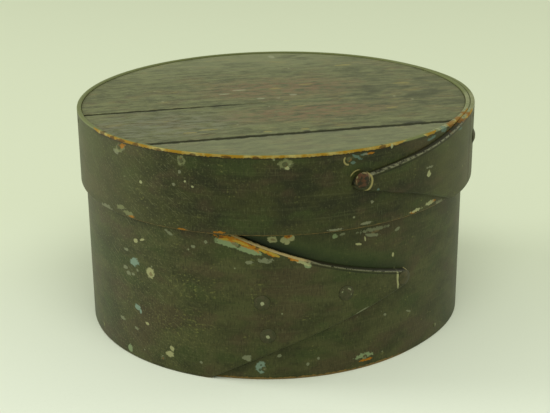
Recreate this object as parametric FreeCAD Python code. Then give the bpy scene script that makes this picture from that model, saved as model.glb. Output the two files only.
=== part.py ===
import FreeCAD, Part
import math
import os

# A lidded box of bent wood, nearly round, with a plain pegged top and bottom.
# Millimetres and degrees. The origin is on the surface that the box stands on, under its
# middle: +X runs along the long axis, -Y is the front, and +Z is up. Both bands lap on the
# quarter between the front and the -X end.
# Angles are the ellipse's own angles: -90 is the middle of the front, 0 is the +X end.
# Positions along a band are walked from the middle of the front, and + is towards +X.

# ---- driving dimensions ----------------------------------------------------------------

# The form that the base band is bent around: the inside of the base.
form_half_length = 66.7
form_half_width = 63.9

# The two bands.
band_thickness = 1.5
layer_gap = 0.1            # between the two layers of a lap
feather_edge = 0.3         # thickness that is left at a feathered end
lid_clearance = 0.3        # between the base band and the inside of the lid band
overall_height = 75.7
lid_band_height = 25.4

# The boards that close the lid and the base.
top_board_thickness = 5.0
top_board_recess = 0.4     # below the rim of the lid band
bottom_board_thickness = 6.5
board_clearance = 0.06     # between a board's edge and its band

# The top board's grain, the split that frees its front strip, and a shorter open crack.
grain_angle = -52.3
split_distance = 45.0      # from the middle of the board
split_width = 0.4
crack_distance = 6.8
crack_end = -3.0           # along the grain, where the crack closes
crack_width = 0.6          # at the rim, where it is widest

# The base lap: its outer layer comes from the -X end, and its finger points to +X.
base_tip_position = -28.6  # end of the finger, along the band
base_tip_height = 28.4
base_nose_radius = 2.4
base_upper_length = 98.4   # from the tip to where the upper edge meets the rim
base_lower_length = 69.5
base_upper_spread = 0.6    # 1 is a straight edge, less is a hollow one
base_lower_spread = 0.7
base_feather_start = -231.0
base_feather_turn = 28.0
base_return_turn = 33.0    # the covered layer comes back out to the form over this turn

# The lid lap: its outer layer comes from the +X end, and its finger points to -X.
lid_tip_position = -55.3
lid_tip_drop = 10.5        # below the rim of the lid
lid_nose_radius = 1.8
lid_upper_length = 59.0
lid_lower_length = 45.3
lid_upper_spread = 1.0
lid_lower_spread = 0.74
lid_feather_start = -21.0
lid_feather_turn = 35.0

# How both fingers are cut.
edge_bevel = 0.8           # a finger's edge is this much wider at its foot than at its face
edge_power = 2.6           # how late a hollow edge opens out
edge_overrun = 1.12        # an edge is drawn this much longer, to leave the band
edge_steps = 14            # points along an edge
nose_step = 30             # degrees between the points round the nose
past_tip = 3.5             # extra band beyond the tip, cut away with the waste

# Tacks: domed head, round shank.
tack_head_radius = 2.6
tack_head_height = 0.8
tack_shank_radius = 0.65
tack_clinch_length = 2.4
tack_clinch_width = 1.2
tack_clinch_height = 0.4
base_tacks = {             # position along the band, height
    "base_tip_tack": (-31.2, 28.7),
    "base_lap_tack_1": (-53.8, 28.6),
    "base_lap_tack_2": (-80.6, 27.5),
    "base_lap_tack_3": (-78.9, 16.2),
}
lid_tacks = {              # position along the band, drop below the rim of the lid
    "lid_tip_tack": (-53.1, 9.3),
    "lid_lap_tack_1": (14.5, 10.9),
}

# Wooden pegs, driven through the bands into the edges of the boards.
peg_radius = 0.9
peg_bite = 7.0             # how far a peg goes into its board
peg_proud = 0.12           # how far its end stands out of the band
base_peg_count = 12
base_peg_first = -128.5
base_peg_height = 3.8
lid_peg_drop = 2.8         # below the rim of the lid
lid_peg_front = (-135.9, -152.5, -179.5, -200.5)
lid_peg_count = 12
lid_peg_step = -30.0

# Clearances of the small fits.
hole_clearance = 0.04      # between a shank or a peg and its hole
seat_clearance = 0.03      # under a tack's head and under its clinched end
hole_overrun = 1.0         # a hole is cut this far past the faces that it opens in

# ---- sizes that follow -----------------------------------------------------------------

lid_inside = band_thickness + lid_clearance
lid_bottom = overall_height - lid_band_height
lid_tip_height = overall_height - lid_tip_drop
top_board_top = overall_height - top_board_recess
top_board_bottom = top_board_top - top_board_thickness
base_rim_height = top_board_bottom     # the top board rests on the rim of the base
lap_depth = band_thickness + layer_gap
reach = 4 * (form_half_length + form_half_width)   # longer than any way across the box

lid_lap_face = lid_inside + lap_depth + band_thickness   # outer face of the lid's lap

front = -90.0
back = 90.0
full_turn = 360.0
sample_step = 4.0          # between the points of a band's curve
points_per_edge = 6        # a long curve is made of edges this many points long
walk_steps = 200           # steps of a walk along a band, and of a search

up = FreeCAD.Vector(0, 0, 1)


# ---- the form --------------------------------------------------------------------------

def normal_at(angle):
    """Outward direction of the form at an angle."""
    turn = math.radians(angle)
    return FreeCAD.Vector(math.cos(turn) / form_half_length, math.sin(turn) / form_half_width, 0).normalize()


def form_point(angle, offset, height):
    """Point that stands `offset` outside the form."""
    turn = math.radians(angle)
    foot = FreeCAD.Vector(form_half_length * math.cos(turn), form_half_width * math.sin(turn), height)
    return foot + normal_at(angle) * offset


def angle_along(distance, offset):
    """Angle reached by a walk along the face that stands `offset` outside the form."""
    angle = front
    step = distance / walk_steps
    for _ in range(walk_steps):
        turn = math.radians(angle)
        stride = math.hypot(form_half_length * math.sin(turn), form_half_width * math.cos(turn))
        angle += math.degrees(step / (stride + offset))
    return angle


def within_turn(angle):
    """The same place as an angle of the turn that starts and ends at the back."""
    return (angle - back) % full_turn + back - full_turn


def smooth(share):
    """0 to 1 with level ends."""
    share = min(max(share, 0.0), 1.0)
    return share * share * (3 - 2 * share)


def angles_between(start, end):
    """Evenly spaced angles, both ends included."""
    count = math.ceil((end - start) / sample_step)
    return [start + (end - start) * i / count for i in range(count + 1)]


def curve(points, closed=False):
    """Smooth curve through points, as short edges end to end."""
    spline = Part.BSplineCurve()
    spline.interpolate(Points=points, PeriodicFlag=closed)
    knots = spline.getKnots()
    edges = []
    for first in range(0, len(knots) - 1, points_per_edge):
        last = min(first + points_per_edge, len(knots) - 1)
        stretch = spline.copy()
        stretch.segment(knots[first], knots[last])
        edges.append(stretch.toShape())
    return edges


# ---- bands -----------------------------------------------------------------------------

def bent_strip(inner, outer, start, end, bottom, height):
    """Upright strip between two offsets of the form that are functions of the angle."""
    angles = angles_between(start, end)
    inside = curve([form_point(angle, inner(angle), bottom) for angle in angles])
    outside = curve([form_point(angle, outer(angle), bottom) for angle in angles])
    first = Part.makeLine(inside[0].firstVertex().Point, outside[0].firstVertex().Point)
    last = Part.makeLine(inside[-1].lastVertex().Point, outside[-1].lastVertex().Point)
    outline = Part.Wire(Part.__sortEdges__(inside + [last] + outside + [first]))
    return Part.Face(outline).extrude(up * height)


def base_entry(angle):
    """Share of the lap depth as the covered layer of the base starts."""
    return smooth((angle - base_feather_start) / base_feather_turn)


def base_outer_end():
    """Angle where the outer layer of the base ends before its finger is cut."""
    return angle_along(base_tip_position + past_tip, band_thickness)


def base_bump(angle):
    """How far the covered layer of the base stands inside the form."""
    back_out = base_outer_end() + base_return_turn - angle
    return lap_depth * base_entry(angle) * smooth(back_out / base_return_turn)


def feathered_start(entry, first, last):
    """Angle between two angles where a feathered end is as thin as it is left."""
    for _ in range(walk_steps):
        middle = (first + last) / 2
        thin = lap_depth * entry(middle) - layer_gap < feather_edge
        first, last = (middle, last) if thin else (first, middle)
    return last


def base_inner_offset(angle):
    """The inner face follows the form, apart from the covered layer."""
    return -base_bump(angle)


def base_outer_offset(angle):
    """The covered layer is as thick as it can be behind the outer one, up to the full band."""
    return min(band_thickness, lap_depth * base_entry(angle) - layer_gap) - base_bump(angle)


def base_strip():
    """The base band before its finger is cut: once round, and the lap."""
    full = base_feather_start + base_feather_turn
    start = feathered_start(base_entry, base_feather_start, full)
    end = base_outer_end() + full_turn
    return bent_strip(base_inner_offset, base_outer_offset, start, end, 0, base_rim_height)


def lid_entry(angle):
    """Share of the lap depth where the outer layer of the lid climbs over the covered end."""
    return smooth((lid_feather_start - angle) / lid_feather_turn)


def lid_inner_offset(angle):
    """The outer layer lies one turn behind the covered one, and climbs over its end."""
    return lid_inside + lap_depth * lid_entry(angle + full_turn)


def lid_outer_offset(angle):
    """Outer face of the lid band, which thins out at the covered end."""
    return lid_inner_offset(angle) + min(band_thickness, lap_depth * lid_entry(angle) - layer_gap)


def lid_strip():
    """The lid band before its finger is cut."""
    full = lid_feather_start - lid_feather_turn
    end = feathered_start(lid_entry, lid_feather_start, full)
    start = angle_along(lid_tip_position - past_tip, lid_lap_face) - full_turn
    return bent_strip(lid_inner_offset, lid_outer_offset, start, end, lid_bottom, lid_band_height)


# ---- fingers ---------------------------------------------------------------------------

def edge_points(length, rise, spread, nose, grow):
    """One edge of a finger as (distance behind the tip, half width), from the nose to past the rim."""
    points = []
    for i in range(1, edge_steps + 1):
        share = edge_overrun * i / edge_steps
        opening = spread * share + (1 - spread) * share ** edge_power
        points.append((nose + share * (length - nose), nose + opening * (rise - nose) + grow))
    return points


def finger_outline(upper, lower, nose, grow):
    """The whole outline of a finger: upper edge, round nose, lower edge."""
    above = edge_points(*upper, nose, grow)
    below = edge_points(*lower, nose, grow)
    round_nose = []
    for bend in range(90, -90 - nose_step, -nose_step):
        turn = math.radians(bend)
        round_nose.append((nose - (nose + grow) * math.cos(turn), (nose + grow) * math.sin(turn)))
    return above[::-1] + round_nose + [(behind, -half) for behind, half in below]


def finger_face(tip, height, heading, upper, lower, nose, face_offset):
    """Ruled faces that part a finger from the waste of its outer layer.

    `heading` is +1 where the finger points to +X and -1 where it points to -X, and
    `face_offset` is where the outer layer's face stands outside the form.
    """
    edges = []
    above_face = -0.5
    within_gap = 1 + 0.5 * layer_gap / band_thickness
    for depth in (above_face, within_gap):     # in band thicknesses below the face
        offset = face_offset - depth * band_thickness
        outline = finger_outline(upper, lower, nose, depth * edge_bevel)
        points = []
        for behind, half in outline:
            angle = angle_along(tip - heading * behind, face_offset)
            points.append(form_point(angle, offset, height + half))
        edges.append(curve(points))
    return Part.Shell([Part.makeRuledSurface(face_edge, foot_edge) for face_edge, foot_edge in zip(*edges)])


def largest(shape):
    """The biggest solid of a shape."""
    return max(shape.Solids, key=lambda solid: solid.Volume)


def cut_finger(strip, face):
    """The strip without the waste around its finger."""
    pieces, _ = strip.generalFuse([face])
    return largest(pieces)


def base_finger():
    """The cutting face of the base's finger."""
    upper = (base_upper_length, base_rim_height - base_tip_height, base_upper_spread)
    lower = (base_lower_length, base_tip_height, base_lower_spread)
    return finger_face(base_tip_position, base_tip_height, 1, upper, lower, base_nose_radius, band_thickness)


def lid_finger():
    """The cutting face of the lid's finger."""
    upper = (lid_upper_length, overall_height - lid_tip_height, lid_upper_spread)
    lower = (lid_lower_length, lid_tip_height - lid_bottom, lid_lower_spread)
    return finger_face(lid_tip_position, lid_tip_height, -1, upper, lower, lid_nose_radius, lid_lap_face)


# ---- boards ----------------------------------------------------------------------------

def board(edge_offset, bottom, thickness):
    """Flat board whose edge stands at an offset of the form that is a function of the angle."""
    angles = angles_between(back - full_turn, back)
    points = [form_point(angle, edge_offset(angle), bottom) for angle in angles[:-1]]
    return Part.Face(Part.Wire(curve(points, closed=True))).extrude(up * thickness)


def bottom_board():
    """The board follows the base band inward where the covered layer stands inside the form."""
    return board(lambda angle: -base_bump(angle) - board_clearance, 0, bottom_board_thickness)


def along_grain(prism_points):
    """Upright prism through the top board, from (along the grain, towards the front) points."""
    turn = math.radians(grain_angle)
    grain = FreeCAD.Vector(math.cos(turn), math.sin(turn), 0)
    to_front = FreeCAD.Vector(math.sin(turn), -math.cos(turn), 0)
    corners = [grain * x + to_front * y for x, y in prism_points]
    return Part.Face(Part.makePolygon(corners + corners[:1])).extrude(up * reach)


def top_boards():
    """The top board and the front strip that has split off it."""
    whole = board(lambda angle: lid_inside - board_clearance, top_board_bottom, top_board_thickness)
    near = split_distance - split_width / 2
    far = split_distance + split_width / 2
    split = along_grain([(-reach, near), (reach, near), (reach, far), (-reach, far)])
    strip, main = sorted(whole.cut(split).Solids, key=lambda solid: solid.Volume)
    rim = -form_half_length
    crack = along_grain([
        (crack_end, crack_distance),
        (rim, crack_distance + crack_width / 2),
        (-reach, crack_distance + crack_width / 2),
        (-reach, crack_distance - crack_width / 2),
        (rim, crack_distance - crack_width / 2),
    ])
    return main.cut(crack), strip


# ---- tacks and pegs --------------------------------------------------------------------

def radial_rod(angle, inner, outer, height, radius):
    """Cylinder that points straight out of the box."""
    return Part.makeCylinder(radius, outer - inner, form_point(angle, inner, height), normal_at(angle))


def tack(angle, height, face, inside, clinched):
    """A tack in a lap: its head on the outer face, its shank to the inner face."""
    outward = normal_at(angle)
    seat = face + seat_clearance
    crown = form_point(angle, seat, height)
    dome_radius = (tack_head_radius ** 2 + tack_head_height ** 2) / (2 * tack_head_height)
    centre = crown + outward * (tack_head_height - dome_radius)
    ball = Part.makeSphere(dome_radius, centre)
    head = ball.common(Part.makeCylinder(tack_head_radius, 2 * tack_head_height, crown, outward))
    tip = inside - seat_clearance if clinched else inside
    shank = radial_rod(angle, tip, seat + tack_head_height / 2, height, tack_shank_radius)
    whole = head.fuse(shank)
    if clinched:
        whole = whole.fuse(clinch(angle, height, tip))
    return whole.removeSplitter()


def clinch(angle, height, tip):
    """The point of a tack, bent over and hammered down inside the box."""
    along = up.cross(normal_at(angle))
    bar = Part.makeBox(tack_clinch_length, tack_clinch_width, tack_clinch_height)
    bar.translate(FreeCAD.Vector(-tack_clinch_width / 2, -tack_clinch_width / 2, -tack_clinch_height))
    facing = FreeCAD.Rotation(up, along, normal_at(angle), "ZXY")
    bar.Placement = FreeCAD.Placement(form_point(angle, tip, height), facing).multiply(bar.Placement)
    return bar


def tack_hole(angle, height, face, inside):
    """Hole for a shank, through both layers."""
    radius = tack_shank_radius + hole_clearance
    return radial_rod(angle, inside - hole_overrun, face + hole_overrun, height, radius)


def outer_face(band, angle, height):
    """Offset of the band's outermost face at one place, measured on the band itself."""
    foot = form_point(angle, 0, height)
    start = form_point(angle, -2 * lap_depth, height)
    probe = Part.makeLine(start, form_point(angle, lid_lap_face + lap_depth, height))
    crossings = band.common(probe).Vertexes
    return max((crossing.Point - foot).dot(normal_at(angle)) for crossing in crossings)


def peg(angle, height, face, board_edge):
    """A peg, from just outside the band into its board."""
    return radial_rod(angle, board_edge - peg_bite, face + peg_proud, height, peg_radius)


def peg_hole(angle, height, face, board_edge):
    """Blind hole for a peg."""
    radius = peg_radius + hole_clearance
    end = board_edge - peg_bite - hole_clearance
    return radial_rod(angle, end, face + hole_overrun, height, radius)


# ---- the two assemblies ----------------------------------------------------------------

def build_base():
    """Every piece of the base, by its name."""
    band = cut_finger(base_strip(), base_finger())
    floor = bottom_board()
    pieces = {}
    for name, (position, height) in base_tacks.items():
        angle = angle_along(position, band_thickness)
        inside = -base_bump(angle)
        pieces[name] = tack(angle, height, band_thickness, inside, True)
        band = band.cut(tack_hole(angle, height, band_thickness, inside))
    for i in range(base_peg_count):
        angle = within_turn(base_peg_first - i * full_turn / base_peg_count)
        face = outer_face(band, angle, base_peg_height)
        edge = -base_bump(angle)
        pieces[f"base_peg_{i + 1:02d}"] = peg(angle, base_peg_height, face, edge)
        hole = peg_hole(angle, base_peg_height, face, edge)
        band = band.cut(hole)
        floor = floor.cut(hole)
    pieces["base_band"] = band
    pieces["base_bottom_board"] = floor
    return pieces


def lid_peg_angles():
    """The front pegs where they are, and the others evenly on from them."""
    angles = list(lid_peg_front)
    while len(angles) < lid_peg_count:
        angles.append(angles[-1] + lid_peg_step)
    return angles


def build_lid():
    """Every piece of the lid, by its name."""
    band = cut_finger(lid_strip(), lid_finger())
    main, strip = top_boards()
    pieces = {}
    for name, (position, drop) in lid_tacks.items():
        height = overall_height - drop
        angle = angle_along(position, lid_lap_face)
        pieces[name] = tack(angle, height, lid_lap_face, lid_inside, False)
        band = band.cut(tack_hole(angle, height, lid_lap_face, lid_inside))
    height = overall_height - lid_peg_drop
    for i, angle in enumerate(lid_peg_angles()):
        face = outer_face(band, angle, height)
        pieces[f"lid_peg_{i + 1:02d}"] = peg(angle, height, face, lid_inside)
        hole = peg_hole(angle, height, face, lid_inside)
        band = band.cut(hole)
        main = main.cut(hole)
        strip = strip.cut(hole)
    pieces["lid_band"] = band
    pieces["lid_top_board"] = main
    pieces["lid_top_strip"] = strip
    return pieces


def export(pieces):
    """One STEP file per piece, each a single solid."""
    os.makedirs("parts", exist_ok=True)
    for name, shape in pieces.items():
        solid = largest(shape)
        solid.exportStep(os.path.join("parts", name + ".step"))
        print(f"{name:20s} {solid.Volume:10.1f} mm3  solids {len(shape.Solids)}  valid {solid.isValid()}")


export(build_base())
export(build_lid())
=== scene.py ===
# %% [markdown]
# # A lidded box of bent wood, in old olive paint
#
# The real box is two thin strips of wood, steamed and bent round a form, with a plain board
# pegged into each. The strips overlap on themselves, and the outer end of each strip is cut
# to a pointed finger and held with small tacks. Everything was painted once, dark olive
# green, and has been rubbed, knocked and dried out since.
#
# The solids of the box are loaded first. They stay where they are, and each piece below is
# built over its solid, in the same place: +X along the box, -Y its front, +Z up.

# %% Load the solids
import bisect
import math

import bmesh
import bpy
from mathutils import Matrix, Vector, noise


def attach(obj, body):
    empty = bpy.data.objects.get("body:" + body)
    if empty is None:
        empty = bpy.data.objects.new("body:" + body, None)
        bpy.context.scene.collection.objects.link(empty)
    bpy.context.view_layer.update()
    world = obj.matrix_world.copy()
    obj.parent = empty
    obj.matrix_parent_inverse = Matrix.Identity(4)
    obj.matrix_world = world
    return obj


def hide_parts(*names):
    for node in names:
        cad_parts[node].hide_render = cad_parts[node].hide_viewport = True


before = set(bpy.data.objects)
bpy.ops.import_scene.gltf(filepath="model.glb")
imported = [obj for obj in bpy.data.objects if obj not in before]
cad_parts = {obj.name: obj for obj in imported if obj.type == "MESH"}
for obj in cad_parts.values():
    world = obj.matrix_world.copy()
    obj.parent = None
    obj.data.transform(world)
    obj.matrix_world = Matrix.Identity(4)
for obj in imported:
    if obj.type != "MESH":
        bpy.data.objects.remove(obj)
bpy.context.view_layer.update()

# %% [markdown]
# ## Sizes
#
# Sizes are written in millimetres, as a maker would measure them. A mesh is built in
# millimetres too, and shrunk to Blender's metres in one step when it is finished.

# %% Sizes of the box
METRE = 0.001                 # one millimetre in metres
FRONT = -90.0                 # the middle of the front, as an angle round the form
BACK = 90.0
FULL_TURN = 360.0

form_half_length = 66.7       # the form that the base is bent round
form_half_width = 63.9
band_thickness = 1.5
layer_gap = 0.1               # between the two layers of a lap
lap_depth = band_thickness + layer_gap
lid_inside = 1.8              # inner face of the lid's strip, outside the form
lid_face = lid_inside + band_thickness
lid_lap_face = lid_face + lap_depth

box_height = 75.7
lid_bottom = 50.3
board_top = 75.3
board_bottom = 70.3
floor_thickness = 6.5
board_clearance = 0.06
print("the box is", box_height, "mm high")

# %% [markdown]
# ## The form
#
# A maker bends every strip round the same oval form. Here the form is an ellipse, and a
# place on the box is said as an angle round it, an offset outside it and a height. A walk
# along a strip starts at the middle of the front and is positive towards +X. Strips, boards,
# tacks and pegs are all placed this way, so they keep to the same form.

# %% Places on the form
def outward(angle):
    turn = math.radians(angle)
    return Vector((math.cos(turn) / form_half_length, math.sin(turn) / form_half_width, 0)).normalized()


def on_form(angle, offset, height):
    turn = math.radians(angle)
    foot = Vector((form_half_length * math.cos(turn), form_half_width * math.sin(turn), height))
    return foot + outward(angle) * offset


def stride(angle, offset):
    """Millimetres walked per degree."""
    turn = math.radians(angle)
    bend = math.hypot(form_half_length * math.sin(turn), form_half_width * math.cos(turn))
    return math.radians(bend + offset)


# %% The walk to an angle, and back
STEPS = 10                    # steps of the table in a degree
LEAD = 2 * FULL_TURN          # the table starts this far before the front
TABLE_DEGREES = 1100


def walk_table(offset):
    """Walked millimetres at every step, counted from the middle of the front."""
    table = [0.0]
    for i in range(STEPS * TABLE_DEGREES):
        table.append(table[-1] + stride(FRONT - LEAD + (i + 0.5) / STEPS, offset) / STEPS)
    at_front = table[int(LEAD * STEPS)]
    return [walked - at_front for walked in table]


walks = {offset: walk_table(offset) for offset in (band_thickness, lid_face, lid_lap_face)}


def walk_to(angle, offset):
    """Millimetres from the middle of the front to an angle, on a face at an offset."""
    place = (angle - FRONT + LEAD) * STEPS
    i = int(place)
    return walks[offset][i] + (walks[offset][i + 1] - walks[offset][i]) * (place - i)


def angle_at(walked, offset):
    """The angle that such a walk reaches."""
    table = walks[offset]
    i = bisect.bisect_right(table, walked) - 1
    return FRONT - LEAD + (i + (walked - table[i]) / (table[i + 1] - table[i])) / STEPS


print("once round the base is", round(walk_to(FRONT + FULL_TURN, band_thickness), 1), "mm")

# %% [markdown]
# ## A finger
#
# The end of each strip is cut to a finger with a round nose and hollow edges, so that it
# lies flat and doesn't lift as the wood dries. A finger is described by how wide it is at
# each distance behind its tip. Its edges are bevelled: towards the foot it gets wider. A
# Boolean could cut it out of a whole strip, but a width at each place lets the rows of faces
# follow its edges.

# %% A finger's two edges
hollow = 2.6                  # how hollow a finger's edges are cut


class Finger:
    """A pointed end of a strip that reaches from bottom to top. Each edge is (length, spread)."""

    def __init__(self, tip, height, nose, bottom, top, upper, lower):
        self.tip = tip               # place along the strip
        self.height = height
        self.nose = nose             # radius
        self.upper = (upper[0], top - height, upper[1])     # length, rise, spread
        self.lower = (lower[0], height - bottom, lower[1])

    def half(self, behind, edge, grow):
        """Half width of one edge at a distance behind the tip."""
        length, rise, spread = edge
        if behind < self.nose:
            return math.sqrt(max((self.nose + grow) ** 2 - (self.nose - behind) ** 2, 0.0))
        share = (behind - self.nose) / (length - self.nose)
        opening = spread * share + (1 - spread) * share ** hollow
        return min(self.nose + opening * (rise - self.nose) + grow, rise)


base_finger = Finger(-28.6, 28.4, 2.4, 0.0, board_bottom, (98.4, 0.6), (69.5, 0.7))
lid_finger = Finger(-55.3, 65.2, 1.8, lid_bottom, box_height, (59.0, 1.0), (45.3, 0.74))
rise = base_finger.half(20, base_finger.upper, 0)
print("20 mm behind its tip the base finger rises", round(rise, 1), "mm")

# %% [markdown]
# ## How the layers of a lap lie
#
# In the base the covered layer dips inside the form, so that the outer layer can run
# straight on. In the lid the outer layer climbs over the covered end. Both ends that
# nobody sees are shaved thin, so that no step shows.

# %% Offsets of the base strip
def smooth(share):
    """0 to 1 with level ends."""
    share = min(max(share, 0.0), 1.0)
    return share * share * (3 - 2 * share)


base_taper = 28.0             # degrees over which the covered end is shaved thin
base_taper_start = -231.0
return_turn = 33.0            # degrees in which the strip comes back out to the form
base_return = angle_at(base_finger.tip + 3.5, band_thickness) + return_turn


def base_entry(angle):
    return smooth((angle - base_taper_start) / base_taper)


def base_dip(angle):
    """How far the covered layer stands inside the form."""
    return lap_depth * base_entry(angle) * smooth((base_return - angle) / return_turn)


def base_inner(angle):
    return -base_dip(angle)


def base_outer(angle):
    return min(band_thickness, lap_depth * base_entry(angle) - layer_gap) - base_dip(angle)


# %% Offsets of the lid strip
lid_taper = 35.0
lid_taper_end = -21.0


def lid_entry(angle):
    return smooth((lid_taper_end - angle) / lid_taper)


def lid_inner(angle):
    return lid_inside + lap_depth * lid_entry(angle + FULL_TURN)


def lid_outer(angle):
    return lid_inner(angle) + min(band_thickness, lap_depth * lid_entry(angle) - layer_gap)


print("the lid's lap stands", round(lid_outer(-470) - lid_outer(-200), 2), "mm proud")

# %% [markdown]
# ## Bending a strip
#
# The strip starts as its cross-section: a tall thin rectangle with its corners bevelled.
# That section is extruded from station to station along the strip, and each copy of it is
# put in its place round the form. Where the finger is, the section is squeezed between the
# finger's two edges. Extruding keeps the mesh in neat rows, so that it shades well. A Curve
# modifier could bend a straight strip too, but each layer's lift would have to be drawn into
# its curve.

# %% A strip's cross-section
corner_radius = 0.42          # of a strip's worn corners
corner_support = 0.3          # a row this far inside a corner keeps the face flat


def soften(bm, geometry, offset, segments=2, affect="EDGES"):
    bmesh.ops.bevel(bm, geom=geometry, offset=offset, offset_type="OFFSET", affect=affect,
                    segments=segments, profile=0.5, material=-1)


def section_loop(bm, height, rows):
    """The edges of a section: x is the depth below the outer face, z the height."""
    upright = Matrix.Rotation(math.radians(90), 3, "X")
    bmesh.ops.create_grid(bm, x_segments=1, y_segments=1, size=0.5)
    bmesh.ops.translate(bm, vec=(0.5, 0.5, 0), verts=bm.verts[:])
    bmesh.ops.rotate(bm, cent=(0, 0, 0), matrix=upright, verts=bm.verts[:])
    bmesh.ops.scale(bm, vec=(band_thickness, 1, height), verts=bm.verts[:])
    soften(bm, bm.verts[:], corner_radius, 3, "VERTICES")
    tall = [e for e in bm.edges if abs(e.verts[0].co.z - e.verts[1].co.z) > height / 2]
    bmesh.ops.subdivide_edges(bm, edges=tall, cuts=rows - 1)
    inner = [e for e in bm.edges if not e.is_boundary]
    bmesh.ops.delete(bm, geom=bm.faces[:], context="FACES_ONLY")
    bmesh.ops.delete(bm, geom=inner, context="EDGES")
    return bm.edges[:]


# %% Squeeze a section between two edges
def row_height(z, height, rows, low, high):
    """Where a section's row goes when the strip reaches only from low to high there."""
    corner = corner_radius * min(1.0, (high - low) / (3 * corner_radius))
    flat = high - low - 2 * corner
    near = min(z, height - z)
    row = (height - 2 * corner_radius) / rows
    if near <= corner_radius + 0.01:
        inset = near / corner_radius * corner
    elif near < corner_radius + 1.5 * row:
        inset = corner + min(corner_support, 0.6 * flat / rows)
    else:
        inset = corner + (near - corner_radius) / (height - 2 * corner_radius) * flat
    return low + inset if z < height / 2 else high - inset


# %% Sweep the section from station to station
kept_names = ("walk", "turned", "to_lower", "to_upper", "depth")


def sweep(height, rows, stations, place):
    """place(station, depth share, section height) gives a point and its kept values."""
    bm = bmesh.new()
    kept = [bm.verts.layers.float.new(name) for name in kept_names]
    loop = section_loop(bm, height, rows)
    first = loop
    ring = {v: (v.co.x / band_thickness, v.co.z) for v in bm.verts}
    for number, station in enumerate(stations):
        if number:
            at = {v.co.copy().freeze(): spot for v, spot in ring.items()}
            made = bmesh.ops.extrude_edge_only(bm, edges=loop)["geom"]
            ring = {v: at[v.co.copy().freeze()] for v in made if isinstance(v, bmesh.types.BMVert)}
            edges = [e for e in made if isinstance(e, bmesh.types.BMEdge)]
            loop = [e for e in edges if all(v in ring for v in e.verts)]
        for v, (depth, z) in ring.items():
            v.co, values = place(station, depth, z)
            for layer, value in zip(kept, (*values, depth)):
                v[layer] = value
    for end in (first, loop):
        bmesh.ops.edgeloop_fill(bm, edges=end)
    bmesh.ops.recalc_face_normals(bm, faces=bm.faces[:])
    return bm


# %% [markdown]
# ## Maps for the paint
#
# Grain runs along a strip and bends with it, so the strip carries two UV maps, both in
# millimetres. The map `strip` is walked along the wood without a break, for grain and
# brush marks. The map `spot` is walked from the middle of the front, for the knocks and
# chips that have a place on the box. Four values in the mesh say how far a point is from
# the strip's edges, for the wear along them.

# %% Lay the two maps
def lay_maps(bm, offset, seam):
    """seam(angle) brings an angle of any turn to the turn that the box's places use."""
    strip = bm.loops.layers.uv.new("strip")
    spot = bm.loops.layers.uv.new("spot")
    walk = bm.verts.layers.float["walk"]
    turned = bm.verts.layers.float["turned"]
    for face in bm.faces:
        middle = sum(v[turned] for v in face.verts) / len(face.verts)
        shift = seam(middle) - middle
        for corner in face.loops:
            v = corner.vert
            corner[strip].uv = (v[walk], v.co.z)
            corner[spot].uv = (walk_to(v[turned] + shift, offset), v.co.z)


# %% [markdown]
# ## Finishing a mesh
#
# Every mesh ends the same way: it is shrunk to metres, shaded smooth, given its materials,
# set to ride with its part of the box, and stands for the solid in its place.

# %% From a bmesh to a piece
def new_object(name, data):
    made = bpy.data.objects.new(name, data)
    bpy.context.collection.objects.link(made)
    return made


def mesh_object(bm, name, materials):
    mesh = bpy.data.meshes.new(name)
    bm.to_mesh(mesh)
    bm.free()
    for material in materials:
        mesh.materials.append(material)
    return new_object(name, mesh)


def finish_piece(bm, name, body, node, materials):
    bmesh.ops.scale(bm, vec=(METRE, METRE, METRE), verts=bm.verts[:])
    for face in bm.faces:
        face.smooth = True
    piece = mesh_object(bm, name, materials)
    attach(piece, body)
    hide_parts(node)
    return piece


# %% [markdown]
# ## Colours and shader nodes
#
# Colours are written as they look on a screen, from 0 to 255, and turned to the linear
# values that the renderer counts in. A `Field` stands for what a node puts out. It is added
# and multiplied like a number, and each sum becomes a Math node in the same tree, so that a
# finish reads as a list of what lies over what.

# %% Colours as they look
def linear(level):
    return ((level / 255 + 0.055) / 1.055) ** 2.4 if level > 10 else level / 3295


def seen(red, green, blue):
    return linear(red), linear(green), linear(blue), 1.0


# %% A node's output, to count with
class Field:
    def __init__(self, socket):
        self.socket = socket
        self.tree = socket.id_data

    def __add__(self, other):
        return calc("ADD", self, other)

    def __sub__(self, other):
        return calc("SUBTRACT", self, other)

    def __rsub__(self, number):
        return calc("SUBTRACT", number, self)

    def __mul__(self, other):
        return calc("MULTIPLY", self, other)

    def __truediv__(self, other):
        return calc("DIVIDE", self, other)

    def __rtruediv__(self, number):
        return calc("DIVIDE", number, self)

    def __abs__(self):
        return calc("ABSOLUTE", self)


# %% Add a node and join it
def add(tree, kind, values, outputs=0, **settings):
    """values is {input: value or field}. Gives one output, or a list where several are named."""
    node = tree.nodes.new("ShaderNode" + kind)
    for name, value in settings.items():
        setattr(node, name, value)
    for key, value in values.items():
        if isinstance(value, Field):
            tree.links.new(value.socket, node.inputs[key])
        else:
            node.inputs[key].default_value = value
    if isinstance(outputs, tuple):
        return [Field(node.outputs[name]) for name in outputs]
    return Field(node.outputs[outputs])


def tree_of(*values):
    return next(value.tree for value in values if isinstance(value, Field))


def calc(operation, a, b=0.0):
    return add(tree_of(a, b), "Math", {0: a, 1: b}, operation=operation)


def vector_calc(operation, a, b=(0, 0, 0), output="Vector"):
    return add(tree_of(a, b), "VectorMath", {0: a, 1: b}, output, operation=operation)


def turned_by(place, angle):
    return add(place.tree, "VectorRotate", {"Vector": place, "Angle": angle}, rotation_type="Z_AXIS")


# %% Compare, fade and mix
def most(masks):
    """The largest of several masks at each point."""
    largest, *others = masks
    for mask in others:
        largest = calc("MAXIMUM", largest, mask)
    return largest


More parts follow.
